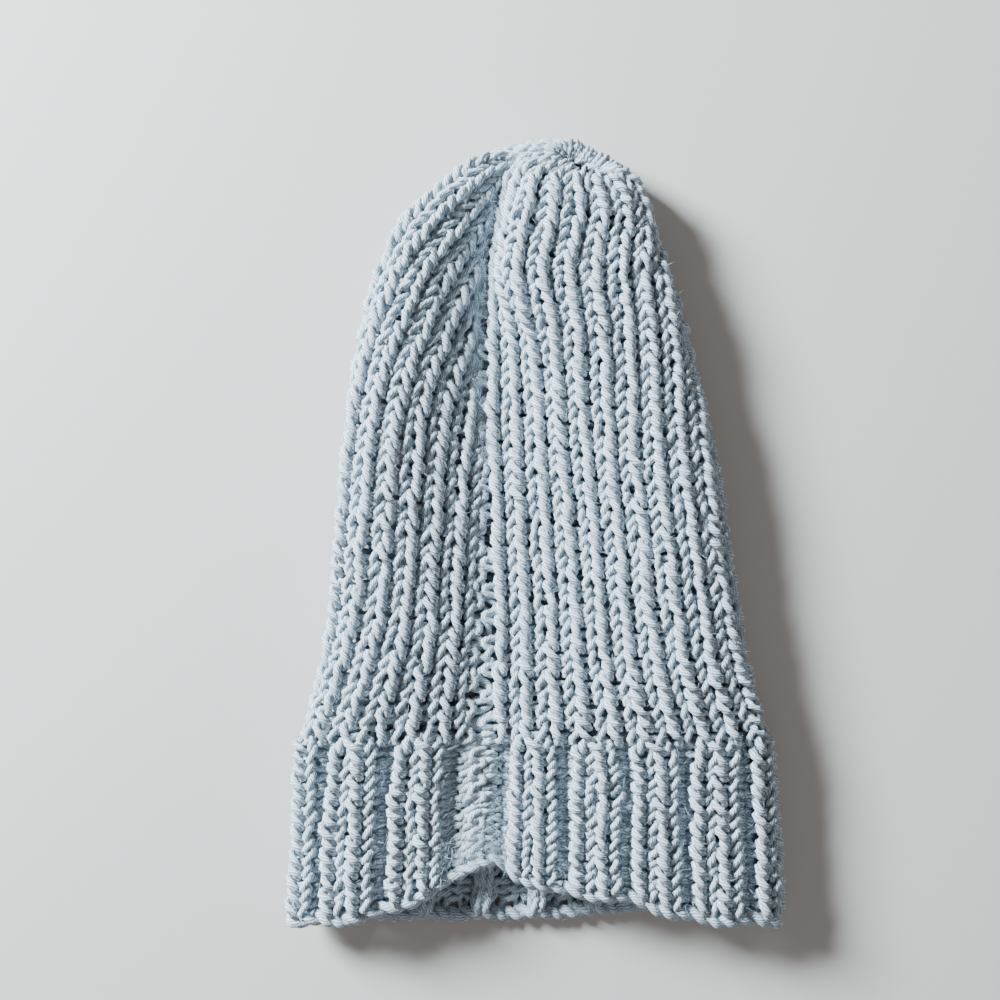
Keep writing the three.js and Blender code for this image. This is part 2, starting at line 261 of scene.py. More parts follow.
# Crown tie: samples and waves round the ring, row and depth in millimetres, each with its swing, and
# thickness against the yarn's
TIE_SAMPLES = 120
TIE_WAVES = 9
TIE_ROW = (TOP_ROW + 0.4, 0.15)
TIE_DEPTH = (-0.8, 0.4)
TIE_SWELL = 0.9

# Loose fibres that stand off the yarn: number, sides and rings of each, radius in millimetres with its
# taper along the rings, height of the root over the middle of the wall and length in millimetres,
# share of outward in its direction, and bend as a share of the length
HAIRS = 6000
HAIR_SIDES = 3
HAIR_RINGS = 3
HAIR_RADIUS = 0.055
HAIR_TAPER = (1.0, 0.85, 0.3)
HAIR_ROOT = (0.6, 2.2)
HAIR_LENGTH = (1.5, 4.6)
HAIR_LIFT = (0.15, 0.9)
HAIR_BEND = 0.45

# Tuft of them at the foot of the seam: share of all, spread in wales, and the row up to which it goes
TUFT_SHARE = 0.06
TUFT_SPREAD = 0.8
TUFT_ROWS = 4.0

# Yarn material: stretch of the fibres round and along the yarn, scales of the noises of fibre, tone
# and wander, the wander of the plies, the share of the dark tone left as painted shade in the grooves
# between the plies, and depth of the bump in metres
FIBRE_STRETCH = (34.0, 0.55, 1.0)
FIBRE_SCALE = 1.0
TONE_SCALE = 90.0
WANDER_SCALE = 420.0
PLY_WANDER = 6.0
PAINTED_GROOVE_SHADE = 0.62
BUMP_DISTANCE = 0.0003
HAIR_TONE_SCALE = 260.0

# Camera: width of its sensor in millimetres, then in metres its distance, the level for which the
# shown width holds, that width, and its place
SENSOR_WIDTH = 36
CAMERA_DISTANCE = 0.48
CAMERA_LEVEL = 0.012
CAMERA_SHOWN = 0.350
CAMERA_PLACE = (-0.01205, 0.0098)

# Lights: name, place and size in metres, power in watts, and colour
LIGHTS = (
    ("key_light", (-0.98, 0.62, 0.6), 0.40, 109.0, (0.82, 0.93, 1.0)),
    ("fill_light", (0.5, -0.5, 1.3), 1.4, 4.2, (0.96, 0.98, 1.0)),
)
WORLD_COLOUR = (1.0, 0.95, 0.9)
WORLD_STRENGTH = 0.18

# Floor: half its width and its height, in metres
FLOOR_HALF = 1.5
FLOOR_HEIGHT = -0.0002


def smooth(q):
    """Goes from 0 to 1 with level ends: three squares less two cubes."""
    c = np.clip(q, 0.0, 1.0)
    return c * c * (3 - 2 * c)


def fade(v, start, rows):
    """Goes from 1 to 0 over some rows from a start, with level ends."""
    return 1 - smooth((v - start) / rows)


def unit(vectors):
    """Vectors divided by their lengths."""
    return vectors / np.maximum(1e-9, np.linalg.norm(vectors, axis=-1, keepdims=True))


def curve_through(stops, heights, x):
    """Smooth curve through given heights: on each span a cubic whose end slopes are those of the
    chords between the neighbours."""
    stops, heights = np.asarray(stops, float), np.asarray(heights, float)
    last = len(stops) - 1
    k = np.arange(last + 1)
    a, b = np.maximum(k - 1, 0), np.minimum(k + 1, last)
    slope = (heights[b] - heights[a]) / (stops[b] - stops[a])
    x = np.clip(x, stops[0], stops[-1])
    i = np.clip(np.searchsorted(stops, x, side="left") - 1, 0, last - 1)
    span = stops[i + 1] - stops[i]
    q = (x - stops[i]) / span
    return ((2 * q**3 - 3 * q**2 + 1) * heights[i] + (q**3 - 2 * q**2 + q) * span * slope[i]
            + (3 * q**2 - 2 * q**3) * heights[i + 1] + (q**3 - q**2) * span * slope[i + 1])


def station(y):
    """Distance along the side view: y itself on the tube, then the crown's length times the angle."""
    y = np.asarray(y, float)
    over = np.arcsin(np.clip((y - CROWN_START) / CROWN_LENGTH, 0, 1))
    return np.where(y <= CROWN_START, y, CROWN_START + CROWN_LENGTH * over)


def sections(s, cap, inset, samples=240):
    """Closed cross-sections, a row for each station s. A rounded box, squarer on the right, whose
    underside is cut flat, whose front sinks by the fold's depth over its two reaches, steepest near the
    fold on the left, and whose right lip leans over the fold.
    Returns x, z and the length run from the bottom of the fold round by the right."""
    table = np.array(SECTIONS)
    stops = station(table[:, 0])
    row = {key: curve_through(stops, table[:, n], s)[:, None] for n, key in enumerate(SECTION_KEYS)}
    cap, inset = np.asarray(cap, float)[:, None], np.asarray(inset, float)[:, None]
    middle = (row["left"] + row["right"]) / 2
    half_x = np.maximum(LEAST_HALF_WIDTH, (row["right"] - row["left"]) / 2 - inset * cap**2)
    centre_z = row["high"] / 2
    half_z = (row["high"] / 2 - inset) * cap
    across = np.clip((row["fold"] - middle) / half_x, -FOLD_LIMIT, FOLD_LIMIT)
    power = np.where(across > 0, SQUARENESS[1], SQUARENESS[0])
    up = (1 - np.abs(across) ** power) ** (1 / power)
    a = np.arctan2(across, up) + np.linspace(0, 2 * np.pi, samples + 1)[None, :]
    sin, cos = np.sin(a), np.cos(a)
    power = np.where(sin > 0, SQUARENESS[1], SQUARENESS[0])
    ring = (np.abs(sin) ** power + np.abs(cos) ** power) ** (-1 / power)
    x = middle + half_x * ring * sin
    under = np.maximum(inset + UNDERSIDE_RISE, centre_z + UNDERSIDE_FULLNESS * half_z * ring * cos)
    off = x - row["fold"]
    q = np.where(off < 0, np.clip(-off / row["reach_l"], 0, 1) ** LEFT_SLOPE_POWER,
                 np.maximum(0, off - RIGHT_SLOPE_START * inset * cap) / row["reach_r"])
    dip = 1 - smooth(q)
    over = centre_z + half_z * ring * cos - row["deep"] * cap * dip
    z = np.where(cos < 0, under, over)
    lean = row["lean"] * cap * (1 - dip) * np.exp(-((off / (LEAN_REACH * row["reach_r"])) ** 2))
    x = x - np.where((cos >= 0) & (off > 0), lean, 0)
    run = np.hypot(np.diff(x, axis=1), np.diff(z, axis=1)).cumsum(axis=1)
    return x, z, np.concatenate([np.zeros((len(x), 1)), run], axis=1)


def along_sections(x, z, run, turn):
    """Points at shares of each section's length; turn holds a row of shares for each section."""
    want = (turn % 1.0) * run[:, -1:]
    i = np.clip((run[:, :, None] <= want[:, None, :]).sum(axis=1) - 1, 0, run.shape[1] - 2)
    m = np.arange(len(x))[:, None]
    q = (want - run[m, i]) / np.maximum(1e-9, run[m, i + 1] - run[m, i])
    return x[m, i] + (x[m, i + 1] - x[m, i]) * q, z[m, i] + (z[m, i + 1] - z[m, i]) * q


def crown_points(climb, turn, inset):
    """Points on the crown: a direction on a ball, tipped more and more towards the gather, laid on
    the flattened sections of the outline."""
    theta = 2 * np.pi * turn
    n = np.stack([np.cos(climb) * np.sin(theta), np.sin(climb), np.cos(climb) * np.cos(theta)], -1)
    axis = np.array([math.cos(GATHER_TURN), 0.0, -math.sin(GATHER_TURN)])
    angle = (GATHER_TILT * smooth((climb / (np.pi / 2) - GATHER_START) / (1 - GATHER_START)))[:, None]
    n = (n * np.cos(angle) + np.cross(axis, n) * np.sin(angle)
         + axis * (n @ axis)[:, None] * (1 - np.cos(angle)))
    rise = np.arcsin(np.clip(n[:, 1], -1, 1))
    sunk = inset + CRATER_DEPTH * np.exp(-(((np.pi / 2 - climb) / CRATER_WIDTH) ** 2))
    cap = np.where(rise > 0, np.sqrt(np.cos(rise)), 1.0)
    x, z = along_sections(*sections(CROWN_START + CROWN_LENGTH * rise, cap, sunk),
                          np.arctan2(n[:, :1], n[:, 2:]) / (2 * np.pi))
    return np.stack([x[:, 0], CROWN_START + (CROWN_LENGTH - sunk) * np.sin(rise), z[:, 0]], -1)


def hem_rise(turn):
    """Height of the hem line above its lowest point, by the turn round the cap."""
    table = np.array(HEM)
    return curve_through(table[:, 0], table[:, 1], turn % 1.0)


def make_fabric():
    """Middle surface of the knitted wall on a grid of rows and turns, with its outward normals and
    the length of its whole turn. The band's rows share the height from the hem line to the band's
    top; above it the rows share, along each turn, the length of the way up the sections and over
    the crown to the gather. The normal is the cross product of the ways round and up."""
    turns = np.arange(GRID_TURNS) / GRID_TURNS
    levels = np.concatenate([np.linspace(LOWEST_LEVEL, BRIM_TOP, BAND_LEVELS),
                             np.linspace(BRIM_TOP, CROWN_START, BODY_LEVELS)[1:]])
    count = len(levels)
    x, z, run = sections(levels, np.ones(count), np.full(count, MID_INSET))
    across, high = along_sections(x, z, run, np.tile(turns, (count, 1)))
    tube = np.stack([across, np.broadcast_to(levels[:, None], across.shape), high], -1)
    climbs = np.concatenate([np.linspace(0, LAST_CLIMB, CROWN_LEVELS)[1:],
                             np.linspace(LAST_CLIMB, STEEPEST_CLIMB, PAST_TOP + 1)[1:]])
    crown = np.stack([crown_points(np.full(GRID_TURNS, c), turns, MID_INSET) for c in climbs])

    rows = np.arange(GRID_FIRST, BRIM_ROWS + GRID_STEP / 2, GRID_STEP)[:, None]
    low = hem_rise(turns) + FIRST_ROW_RISE
    y = low + (BRIM_TOP - low) * rows / BRIM_ROWS
    at = (y - levels[0]) / (levels[1] - levels[0])
    i = np.clip(at.astype(int), 0, count - 2)
    q = (at - i)[..., None]
    col = np.broadcast_to(np.arange(GRID_TURNS), y.shape)
    lower = tube[i, col] * (1 - q) + tube[i + 1, col] * q

    way = np.concatenate([tube[BAND_LEVELS - 1:], crown])
    run = np.linalg.norm(np.diff(way, axis=0), axis=2).cumsum(axis=0)
    run = np.concatenate([np.zeros((1, GRID_TURNS)), run])
    last = len(way) - PAST_TOP - 1
    rows = np.arange(GRID_STEP, BODY_ROWS + GRID_PAST_TOP + GRID_STEP / 2, GRID_STEP)[:, None]
    want = np.minimum(run[last] * rows / BODY_ROWS, run[-1] - 1e-6)
    i = np.clip((run[None] <= want[:, None]).sum(axis=1) - 1, 0, len(way) - 2)
    col = np.broadcast_to(np.arange(GRID_TURNS), i.shape)
    q = ((want - run[i, col]) / np.maximum(1e-9, run[i + 1, col] - run[i, col]))[..., None]
    upper = way[i, col] * (1 - q) + way[i + 1, col] * q

    grid = np.concatenate([lower, upper]) - np.array([CENTRE_X, CENTRE_Y, 0.0])
    across = np.roll(grid, -2, axis=1) - np.roll(grid, 2, axis=1)
    out = unit(np.cross(across, np.gradient(grid, axis=0)))
    wide = np.linalg.norm(across, axis=-1) / 4 * GRID_TURNS
    return np.concatenate([grid, out, wide[..., None]], -1)


FABRIC = make_fabric()


def on_fabric(v, u):
    """Point, outward normal and length of the whole turn at row v and turn u, by straight lines
    between the grid's points."""
    at = np.clip((v - GRID_FIRST) / GRID_STEP, 0, len(FABRIC) - 1.001)
    i = at.astype(int)
    p = (at - i)[..., None]
    around = (u % 1.0) * GRID_TURNS
    j = around.astype(int) % GRID_TURNS
    k = (j + 1) % GRID_TURNS
    q = (around - np.floor(around))[..., None]
    low = FABRIC[i, j] * (1 - q) + FABRIC[i, k] * q
    high = FABRIC[i + 1, j] * (1 - q) + FABRIC[i + 1, k] * q
    both = low * (1 - p) + high * p
    return both[..., :3], unit(both[..., 3:6]), both[..., 6]


def spread(v, key):
    """One column of the table of the wales' spread, at row v."""
    table = np.array(SPREAD)
    return curve_through(table[:, 0], table[:, SPREAD_KEYS.index(key)], v)


def wale_turn(v, j):
    """Turn at row v of wale j, counted to the right from the seam. On the band the wales keep to the
    ribs' places. Above it they are counted off round the cap from one side of the seam's gap to the
    other, full width on the front and narrower on the back, and those that are hidden are pressed
    together in the fold."""
    gap, hidden, back = spread(v, "gap"), np.maximum(0, spread(v, "hidden")), spread(v, "back")
    ribs = np.array(RIB_TURNS)
    whole = np.floor(j / WALES)
    band = np.interp(j - WALES * whole, 2 * ribs[:, 0], ribs[:, 1]) + whole
    left = WALES - 1 - FRONT_WALES - BACK_WALES - hidden
    place = j - 0.5
    counted = (np.minimum(place, FRONT_WALES) + back * np.clip(place - FRONT_WALES, 0, BACK_WALES)
               + np.clip(place - FRONT_WALES - BACK_WALES, 0, left))
    total = FRONT_WALES + back * BACK_WALES + left
    pressed = PRESSED_TURN * np.minimum(hidden, 1)
    even = gap + counted / total * (1 - 2 * gap - pressed)
    beyond = np.maximum(0, place - (WALES - 1 - hidden))
    even = even + beyond / np.maximum(hidden, LEAST_HIDDEN) * np.maximum(pressed, LEAST_PRESSED)
    share = smooth((v - BRIM_ROWS) / BLEND_ROWS)
    return band * (1 - share) + even * share


def hidden_depth(v, j):
    """Depth by which the hidden wales lie under the fold: it grows smoothly from the first of them."""
    hidden = np.maximum(0, spread(v, "hidden"))
    return HIDDEN_DEPTH * smooth((j - HIDDEN_START - (WALES - 1 - hidden)) / HIDDEN_REACH) * smooth(hidden)


def yarn_mesh(paths, radius, lead, closed=False):
    """Plied yarn along each path: a round section that turns about the path once in each lead, so that
    a line along the mesh is a ply. Paths are (points, normals, thickness factors). Returns vertices,
    quads, the caps of open ends and, for the quads' corners, the two coordinates round and along the
    yarn."""
    k = np.arange(SIDES)
    verts, quads, caps, coords = [], [], [], []
    base = 0
    for points, normals, thick in paths:
        n = len(points)
        if closed:
            along = np.roll(points, -1, axis=0) - np.roll(points, 1, axis=0)
        else:
            along = np.gradient(points, axis=0)
        along = unit(along)
        side = unit(np.cross(along, normals))
        up = np.cross(side, along)
        step = np.linalg.norm(np.diff(points, axis=0), axis=1)
        run = np.concatenate([[0], step.cumsum()])
        turns = run / lead
        if closed:
            whole = run[-1] + np.linalg.norm(points[0] - points[-1])
            turns = run / whole * round(whole / lead)
        angle = 2 * np.pi * (k[None, :] / SIDES + turns[:, None])
        r = (radius * thick)[:, None]
        ring = (points[:, None, :] + (r * np.cos(angle))[..., None] * side[:, None, :]
                + (r * np.sin(angle))[..., None] * up[:, None, :])
        verts.append(ring.reshape(-1, 3))
        i, k1 = np.meshgrid(np.arange(n if closed else n - 1), k, indexing="ij")
        i2, k2 = (i + 1) % n, (k1 + 1) % SIDES
        corners = [i * SIDES + k1, i * SIDES + k2, i2 * SIDES + k2, i2 * SIDES + k1]
        quads.append(base + np.stack(corners, -1).reshape(-1, 4))
        if not closed:
            caps += [base + k[::-1], base + (n - 1) * SIDES + k]
        t = turns * lead
        t1, t2 = t[i], np.append(t[1:], t[-1] + step.mean())[i]
        low, high = k1 / SIDES, k1 / SIDES + 1 / SIDES
        pairs = [(low, t1), (high, t1), (high, t2), (low, t2)]
        coords.append(np.stack([np.stack(pair, -1) for pair in pairs], -2).reshape(-1, 2))
        base += n * SIDES
    return (np.concatenate(verts), np.concatenate(quads),
            np.array(caps, int).reshape(-1, SIDES), np.concatenate(coords))


def add_mesh(name, verts, faces, material, coords=None):
    """Makes a smooth mesh object from points in millimetres and from arrays that hold a face's corners
    in each row. Coordinates, if there are any, go to the corners in their order, as the layer Yarn."""
    corners = np.concatenate([part.ravel() for part in faces])
    totals = np.concatenate([np.full(len(part), part.shape[1]) for part in faces])
    starts = np.concatenate([[0], totals.cumsum()[:-1]])
    mesh = bpy.data.meshes.new(name)
    mesh.vertices.add(verts.size // 3)
    mesh.vertices.foreach_set("co", (verts * MM).ravel())
    mesh.loops.add(len(corners))
    mesh.loops.foreach_set("vertex_index", corners.astype(np.int32))
    mesh.polygons.add(len(totals))
    mesh.polygons.foreach_set("loop_start", starts.astype(np.int32))
    mesh.polygons.foreach_set("loop_total", totals.astype(np.int32))
    mesh.polygons.foreach_set("use_smooth", np.ones(len(totals), bool))
    if coords is not None:
        padded = np.zeros((len(corners), 2))
        padded[:len(coords)] = coords
        mesh.uv_layers.new(name="Yarn").data.foreach_set("uv", padded.ravel())
    mesh.update(calc_edges=True)
    mesh.validate()
    mesh.materials.append(material)
    piece = bpy.data.objects.new(name, mesh)
    bpy.context.scene.collection.objects.link(piece)
    return piece


def add_piece(name, node, paths, radius, lead, closed=False):
    """Turns yarn paths into one mesh object and lets it stand for its CAD node."""
    verts, quads, caps, coords = yarn_mesh(paths, radius, lead, closed)
    piece = add_mesh(name, verts, [quads, caps], yarn_material(), coords)
    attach(piece, "root")
    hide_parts(node)


def knit_rows(rows, centres, widths, faces, levels, gather, taper, seed):
    """Courses of loops, one after another; places and widths are counted in wales. In each stitch the
    yarn's place is the wale's centre plus a straight run, a wave that opens the loop and a double wave
    that narrows its neck; its height is a cosine, so the loop reaches into the course above; its depth
    is a double cosine, which brings the legs out and the heads back, or the other way on a purl.
    Between two wales the depth and the place blend into one another. The left legs lean more, lie
    further out and are thicker. As in work that is turned at each row, every second row is looser: its
    loops are taller and reach further out. Gather moves the heads sideways and taper narrows the
    necks. Small shares of chance and a slow drift of each wale make the stitches uneven.
    Returns places, rows, depths and thickness, each (rows, samples)."""
    rng = np.random.default_rng(seed)
    count, wales = len(rows), len(centres)
    t = (-np.pi + 2 * np.pi * np.arange(SAMPLES) / SAMPLES)[None, None, :]
    c, w = centres[None, :, None], widths[None, :, None]
    s, z0 = faces[None, :, None], levels[None, :, None]
    chance = lambda what: rng.normal(0, CHANCE[what], (count, wales, 1))
    starts, stops = centres - widths / 2, centres + widths / 2
    middle = (stops[:-1] + starts[1:]) / 2
    right, left = np.append(middle, stops[-1]), np.append(starts[0], middle)
    back = levels - faces * LOOP_DEPTH
    between = (back[:-1] + back[1:]) / 2
    back_r, back_l = np.append(between, back[-1]), np.append(back[0], between)
    low = smooth((np.abs(t) - np.pi / 2) / (np.pi / 2))
    knots = rng.normal(0, CHANCE["drift"], (count // DRIFT_ROWS + 2, wales))
    at = np.arange(count) / DRIFT_ROWS
    drift = knots[at.astype(int)] * (1 - at % 1)[:, None] + knots[at.astype(int) + 1] * (at % 1)[:, None]
    swing = (chance("swing") + drift[..., None]) * np.cos(t / 2) ** 2
    turned = np.where(np.arange(count) % 2 == 0, 1.0, -1.0)[:, None, None]
    neck = (LOOP_NECK + taper + chance("neck")) * (1 - NECK_SKEW * np.sin(t))
    x = t / (2 * np.pi) + (LOOP_OPEN + chance("open")) * np.sin(t) + neck * np.sin(2 * t)
    edge = np.where(t > 0, (right - stops)[None, :, None], (left - starts)[None, :, None])
    u = c + w * (x + swing) + low * edge + gather * (0.5 + 0.5 * np.cos(t))
    v = rows[:, None, None] + (LOOP_HEIGHT + ROW_TURN * turned) * np.cos(t)
    v = v + chance("rise") * np.cos(t / 2) ** 2
    depth = LOOP_DEPTH * (1 + TURN_DEPTH * turned + chance("depth"))
    near = s * -depth * np.cos(2 * t) + z0
    sink = np.where(t > 0, back_r[None, :, None], back_l[None, :, None])
    leg = s * depth + z0
    far = leg + (sink - leg) * (1 - np.cos(2 * (np.abs(t) - np.pi / 2))) / 2
    z = np.where(np.abs(t) > np.pi / 2, far, near)
    z = z - (LEG_LIFT + chance("lift")) * s * np.sin(t) + chance("level")
    thick = 1 - LEG_SWELL * np.sin(t) * (s > 0) + TURN_SWELL * turned + chance("swell")
    flat = lambda a: np.broadcast_to(a, (count, wales, SAMPLES)).reshape(count, -1)
    return flat(u), flat(v), flat(z), flat(thick)


def courses(pieces, bulge):
    """Joins the courses back and forth, with a round turn at each selvedge whose place is a sine and
    whose row is a cosine, and lays them on the fabric. Returns one path of points, normals and
    thickness."""
    u, v, z, thick = pieces
    out = [[], [], [], []]
    phi = np.linspace(0, np.pi, TURN_SAMPLES)[1:-1]
    for n in range(len(u)):
        forward = n % 2 == 0
        line = [a[n] if forward else a[n][::-1] for a in (u, v, z, thick)]
        for store, part in zip(out, line):
            store.append(part)
        if n < len(u) - 1:
            end, side = (-1, 1) if forward else (0, -1)
            v0, v1 = v[n, end], v[n + 1, end]
            out[0].append(u[n, end] + side * bulge * np.sin(phi))
            out[1].append(v0 + (v1 - v0) * (1 - np.cos(phi)) / 2)
            out[2].append(z[n, end] + TURN_LIFT * np.sin(phi))
            out[3].append(np.ones(len(phi)))
    return lay(*(np.concatenate(a) for a in out))


def lay(j, v, z, thick):
    """Points at wale place j and row v, moved out of the fabric by the depth z along its normal, with
    the normals and the thickness, which falls where the wales or the rows are drawn together. Yarn
    that would dip under the floor is laid on it, and yarn of the front layer that would reach into
    the back one is held above it."""
    turn = wale_turn(v, j)
    point, out, whole = on_fabric(v, turn)
    wide = whole * np.abs(wale_turn(v, j + 0.5) - wale_turn(v, j - 0.5))
    high = np.linalg.norm(on_fabric(v + 0.5, turn)[0] - on_fabric(v - 0.5, turn)[0], axis=-1)
    z = z - hidden_depth(v, j)
    thick = (thick * np.clip(wide / FULL_WIDTH, LEAST_WIDTH, 1.0) ** PRESSED_POWER
             * np.clip(high / FULL_HEIGHT, LEAST_HEIGHT, 1.0) ** PRESSED_POWER)
    point = point + out * z[:, None]
    low = np.where(out[:, 2] > 0.5, np.interp(v, HOLLOW_ROWS, HOLLOW_TOP), FLOOR_CLEARANCE)
    point[:, 2] = np.maximum(point[:, 2], low + yarn_size()[0] * thick)
    return point, out, thick


class BeanieSettings(bpy.types.PropertyGroup):
    """Sizes and colours of the beanie."""

    yarn_radius: bpy.props.FloatProperty(
        name="Yarn radius", description="Half the thickness of the yarn",
        default=0.00133, min=0.0005, max=0.004, unit="LENGTH", subtype="DISTANCE")
    ply_lead: bpy.props.FloatProperty(
        name="Ply lead", description="Length of yarn in which the plies go once round",
        default=0.0084, min=0.004, max=0.03, unit="LENGTH", subtype="DISTANCE")
    yarn_colour: bpy.props.FloatVectorProperty(
        name="Yarn colour", description="Colour of the yarn in full light",
        default=(0.60, 0.73, 0.83), min=0, max=1, size=3, subtype="COLOR")
    # Darker end of the yarn's random tone; scaled down, it is also the painted shade in the grooves between
    # the plies
    dark_tone_and_groove_shade_colour: bpy.props.FloatVectorProperty(
        name="Shade colour", description="Colour of the yarn deep between the plies",
        default=(0.37, 0.445, 0.51), min=0, max=1, size=3, subtype="COLOR")
    floor_colour: bpy.props.FloatVectorProperty(
        name="Floor colour", description="Colour of the plain floor",
        default=(0.53, 0.50, 0.475), min=0, max=1, size=3, subtype="COLOR")


def settings():
    """The beanie's sizes and colours in this scene."""
    return bpy.context.scene.beanie


def yarn_size():
    """Radius of the yarn and lead of its plies, in millimetres."""
    return settings().yarn_radius / MM, settings().ply_lead / MM


def feed(tree, node, given):
    """Sets a node's inputs, by name or by number: each to a value or to the output that is given."""
    for key, source in given.items():
        if isinstance(source, bpy.types.NodeSocket):
            tree.links.new(source, node.inputs[key])
        else:
            node.inputs[key].default_value = source


def add_node(tree, kind, given):
    """Adds a node and sets its inputs."""
    node = tree.nodes.new(kind)
    feed(tree, node, given)
    return node


def calculate(tree, operation, *given):
    """Adds a node for one operation on the values or outputs given, and gives its result."""
    node = tree.nodes.new("ShaderNodeMath")
    node.operation = operation
    feed(tree, node, dict(enumerate(given)))
    return node.outputs["Value"]


def noise(tree, place, scale, detail):
    """Adds a noise on the coordinates of a place, and gives its grey output."""
    return add_node(tree, "ShaderNodeTexNoise",
                    {"Vector": place, "Scale": scale, "Detail": detail}).outputs["Fac"]


def mix_colours(tree, share, first, second):
    """Adds a mix of two colours, from the first at 0 to the second at 1, and gives its result."""
    node = tree.nodes.new("ShaderNodeMix")
    node.data_type = "RGBA"
    feed(tree, node, {"Factor": share, "A": first, "B": second})
    return node.outputs["Result"]


def new_material(name, given):
    """New material whose main shader has the inputs given, with its node tree and that shader."""
    mat = bpy.data.materials.new(name)
    mat.use_nodes = True
    shader = mat.node_tree.nodes["Principled BSDF"]
    feed(mat.node_tree, shader, given)
    return mat, mat.node_tree, shader


def yarn_material():
    """Matt plied yarn: fibres drawn out along the plies by noise that is stretched on the yarn's own
    coordinates, with slow changes of tone over the cap. The plies are ridges, a cosine of the way
    round the yarn times their number with a small wander, and the grooves between them get painted shade:
    their colour is darkened as shade would darken them."""
    found = bpy.data.materials.get("plied_yarn")
    if found:
        return found
    mat, tree, shader = new_material("plied_yarn", {
        "Roughness": 0.92, "Specular IOR Level": 0.25, "Sheen Weight": 0.35, "Sheen Roughness": 0.6})
    shade, full = (*settings().dark_tone_and_groove_shade_colour, 1), (*settings().yarn_colour, 1)
    layer = tree.nodes.new("ShaderNodeUVMap")
    layer.uv_map = "Yarn"
    yarn = layer.outputs["UV"]
    cap = tree.nodes.new("ShaderNodeTexCoord").outputs["Object"]

    drawn = add_node(tree, "ShaderNodeMapping", {"Vector": yarn, "Scale": FIBRE_STRETCH})
    fibre = noise(tree, drawn.outputs["Vector"], FIBRE_SCALE, 3.0)
    tone = calculate(tree, "MULTIPLY_ADD", noise(tree, cap, TONE_SCALE, 2.0), 0.6,
                     calculate(tree, "MULTIPLY", fibre, 1.3))
    light = add_node(tree, "ShaderNodeMapRange", {"Value": tone, "From Min": 0.55, "From Max": 1.15})
    face = mix_colours(tree, light.outputs["Result"], shade, full)

    # Painted shade between the plies: the cosine round the yarn marks ridges and grooves, and the grooves
    # are coloured darker as shade, besides feeding the bump
    around = add_node(tree, "ShaderNodeSeparateXYZ", {"Vector": yarn}).outputs["X"]
    wander = calculate(tree, "MULTIPLY", noise(tree, cap, WANDER_SCALE, 1.0), PLY_WANDER)
    wave = calculate(tree, "COSINE", calculate(tree, "MULTIPLY_ADD", around, 2 * math.pi * PLIES, wander))
    ridge = tree.nodes.new("ShaderNodeMapRange")
    ridge.interpolation_type = "SMOOTHERSTEP"
    feed(tree, ridge, {"Value": wave, "From Min": -1.0, "From Max": 0.5})
    painted_groove_colour = (*(PAINTED_GROOVE_SHADE * c for c in settings().dark_tone_and_groove_shade_colour), 1)
    colour = mix_colours(tree, ridge.outputs["Result"], painted_groove_colour, face)

    height = calculate(tree, "MULTIPLY_ADD", fibre, 0.35, ridge.outputs["Result"])
    bump = add_node(tree, "ShaderNodeBump", {"Height": height, "Strength": 0.6, "Distance": BUMP_DISTANCE})
    feed(tree, shader, {"Base Color": colour, "Normal": bump.outputs["Normal"]})
    return mat


def fibre_material():
    """Fine wool fibre: pale, matt, with a tone that changes from hair to hair."""
    mat, tree, shader = new_material("loose_fibre", {"Roughness": 0.8, "Specular IOR Level": 0.3})
    cap = tree.nodes.new("ShaderNodeTexCoord").outputs["Object"]
    colour = mix_colours(tree, noise(tree, cap, HAIR_TONE_SCALE, 2.0),
                         (*settings().dark_tone_and_groove_shade_colour, 1), (*settings().yarn_colour, 1))
    feed(tree, shader, {"Base Color": colour})
    return mat


class OBJECT_OT_beanie_stage(bpy.types.Operator):
    """Make the camera, the lights and the plain floor"""

    bl_idname = "object.beanie_stage"
    bl_label = "Stage"

    def execute(self, context):
        scene = context.scene
        data = bpy.data.cameras.new("camera")
        data.sensor_fit = "HORIZONTAL"
        data.sensor_width = SENSOR_WIDTH
        data.lens = SENSOR_WIDTH * CAMERA_DISTANCE / CAMERA_SHOWN
        data.clip_start, data.clip_end = 0.01, 20
        camera = bpy.data.objects.new("camera", data)
        camera.location = (*CAMERA_PLACE, CAMERA_LEVEL + CAMERA_DISTANCE)
        scene.collection.objects.link(camera)
        scene.camera = camera

        mesh = bpy.data.meshes.new("floor")
        corners = ((-1, -1), (1, -1), (1, 1), (-1, 1))
        verts = [(x * FLOOR_HALF, y * FLOOR_HALF, FLOOR_HEIGHT) for x, y in corners]
        mesh.from_pydata(verts, [], [(0, 1, 2, 3)])
        mesh.materials.append(new_material("pale_floor", {
            "Base Color": (*settings().floor_colour, 1), "Roughness": 0.8})[0])
        floor = bpy.data.objects.new("floor", mesh)
        scene.collection.objects.link(floor)

        for name, place, size, power, colour in LIGHTS:
            light = bpy.data.lights.new(name, "AREA")
            light.energy = power
            light.color = colour
            light.size = size
            lamp = bpy.data.objects.new(name, light)
            lamp.location = place
            away = np.array(place) / np.linalg.norm(place)
            lamp.rotation_euler = (math.acos(away[2]), 0, math.atan2(away[0], -away[1]))
            scene.collection.objects.link(lamp)
        world = bpy.data.worlds.new("studio")
        world.use_nodes = True
        feed(world.node_tree, world.node_tree.nodes["Background"],
             {"Color": (*WORLD_COLOUR, 1), "Strength": WORLD_STRENGTH})
        scene.world = world
        return {"FINISHED"}


def add_knit(node, parts, loops, bulge):
    """Adds the pieces of a knitted part, each made of its own share of the courses."""
    radius, lead = yarn_size()
    for name, first, last in parts:
        some = [a[first:last] for a in loops]
        add_piece(name, node, [courses(some, bulge)], radius, lead)


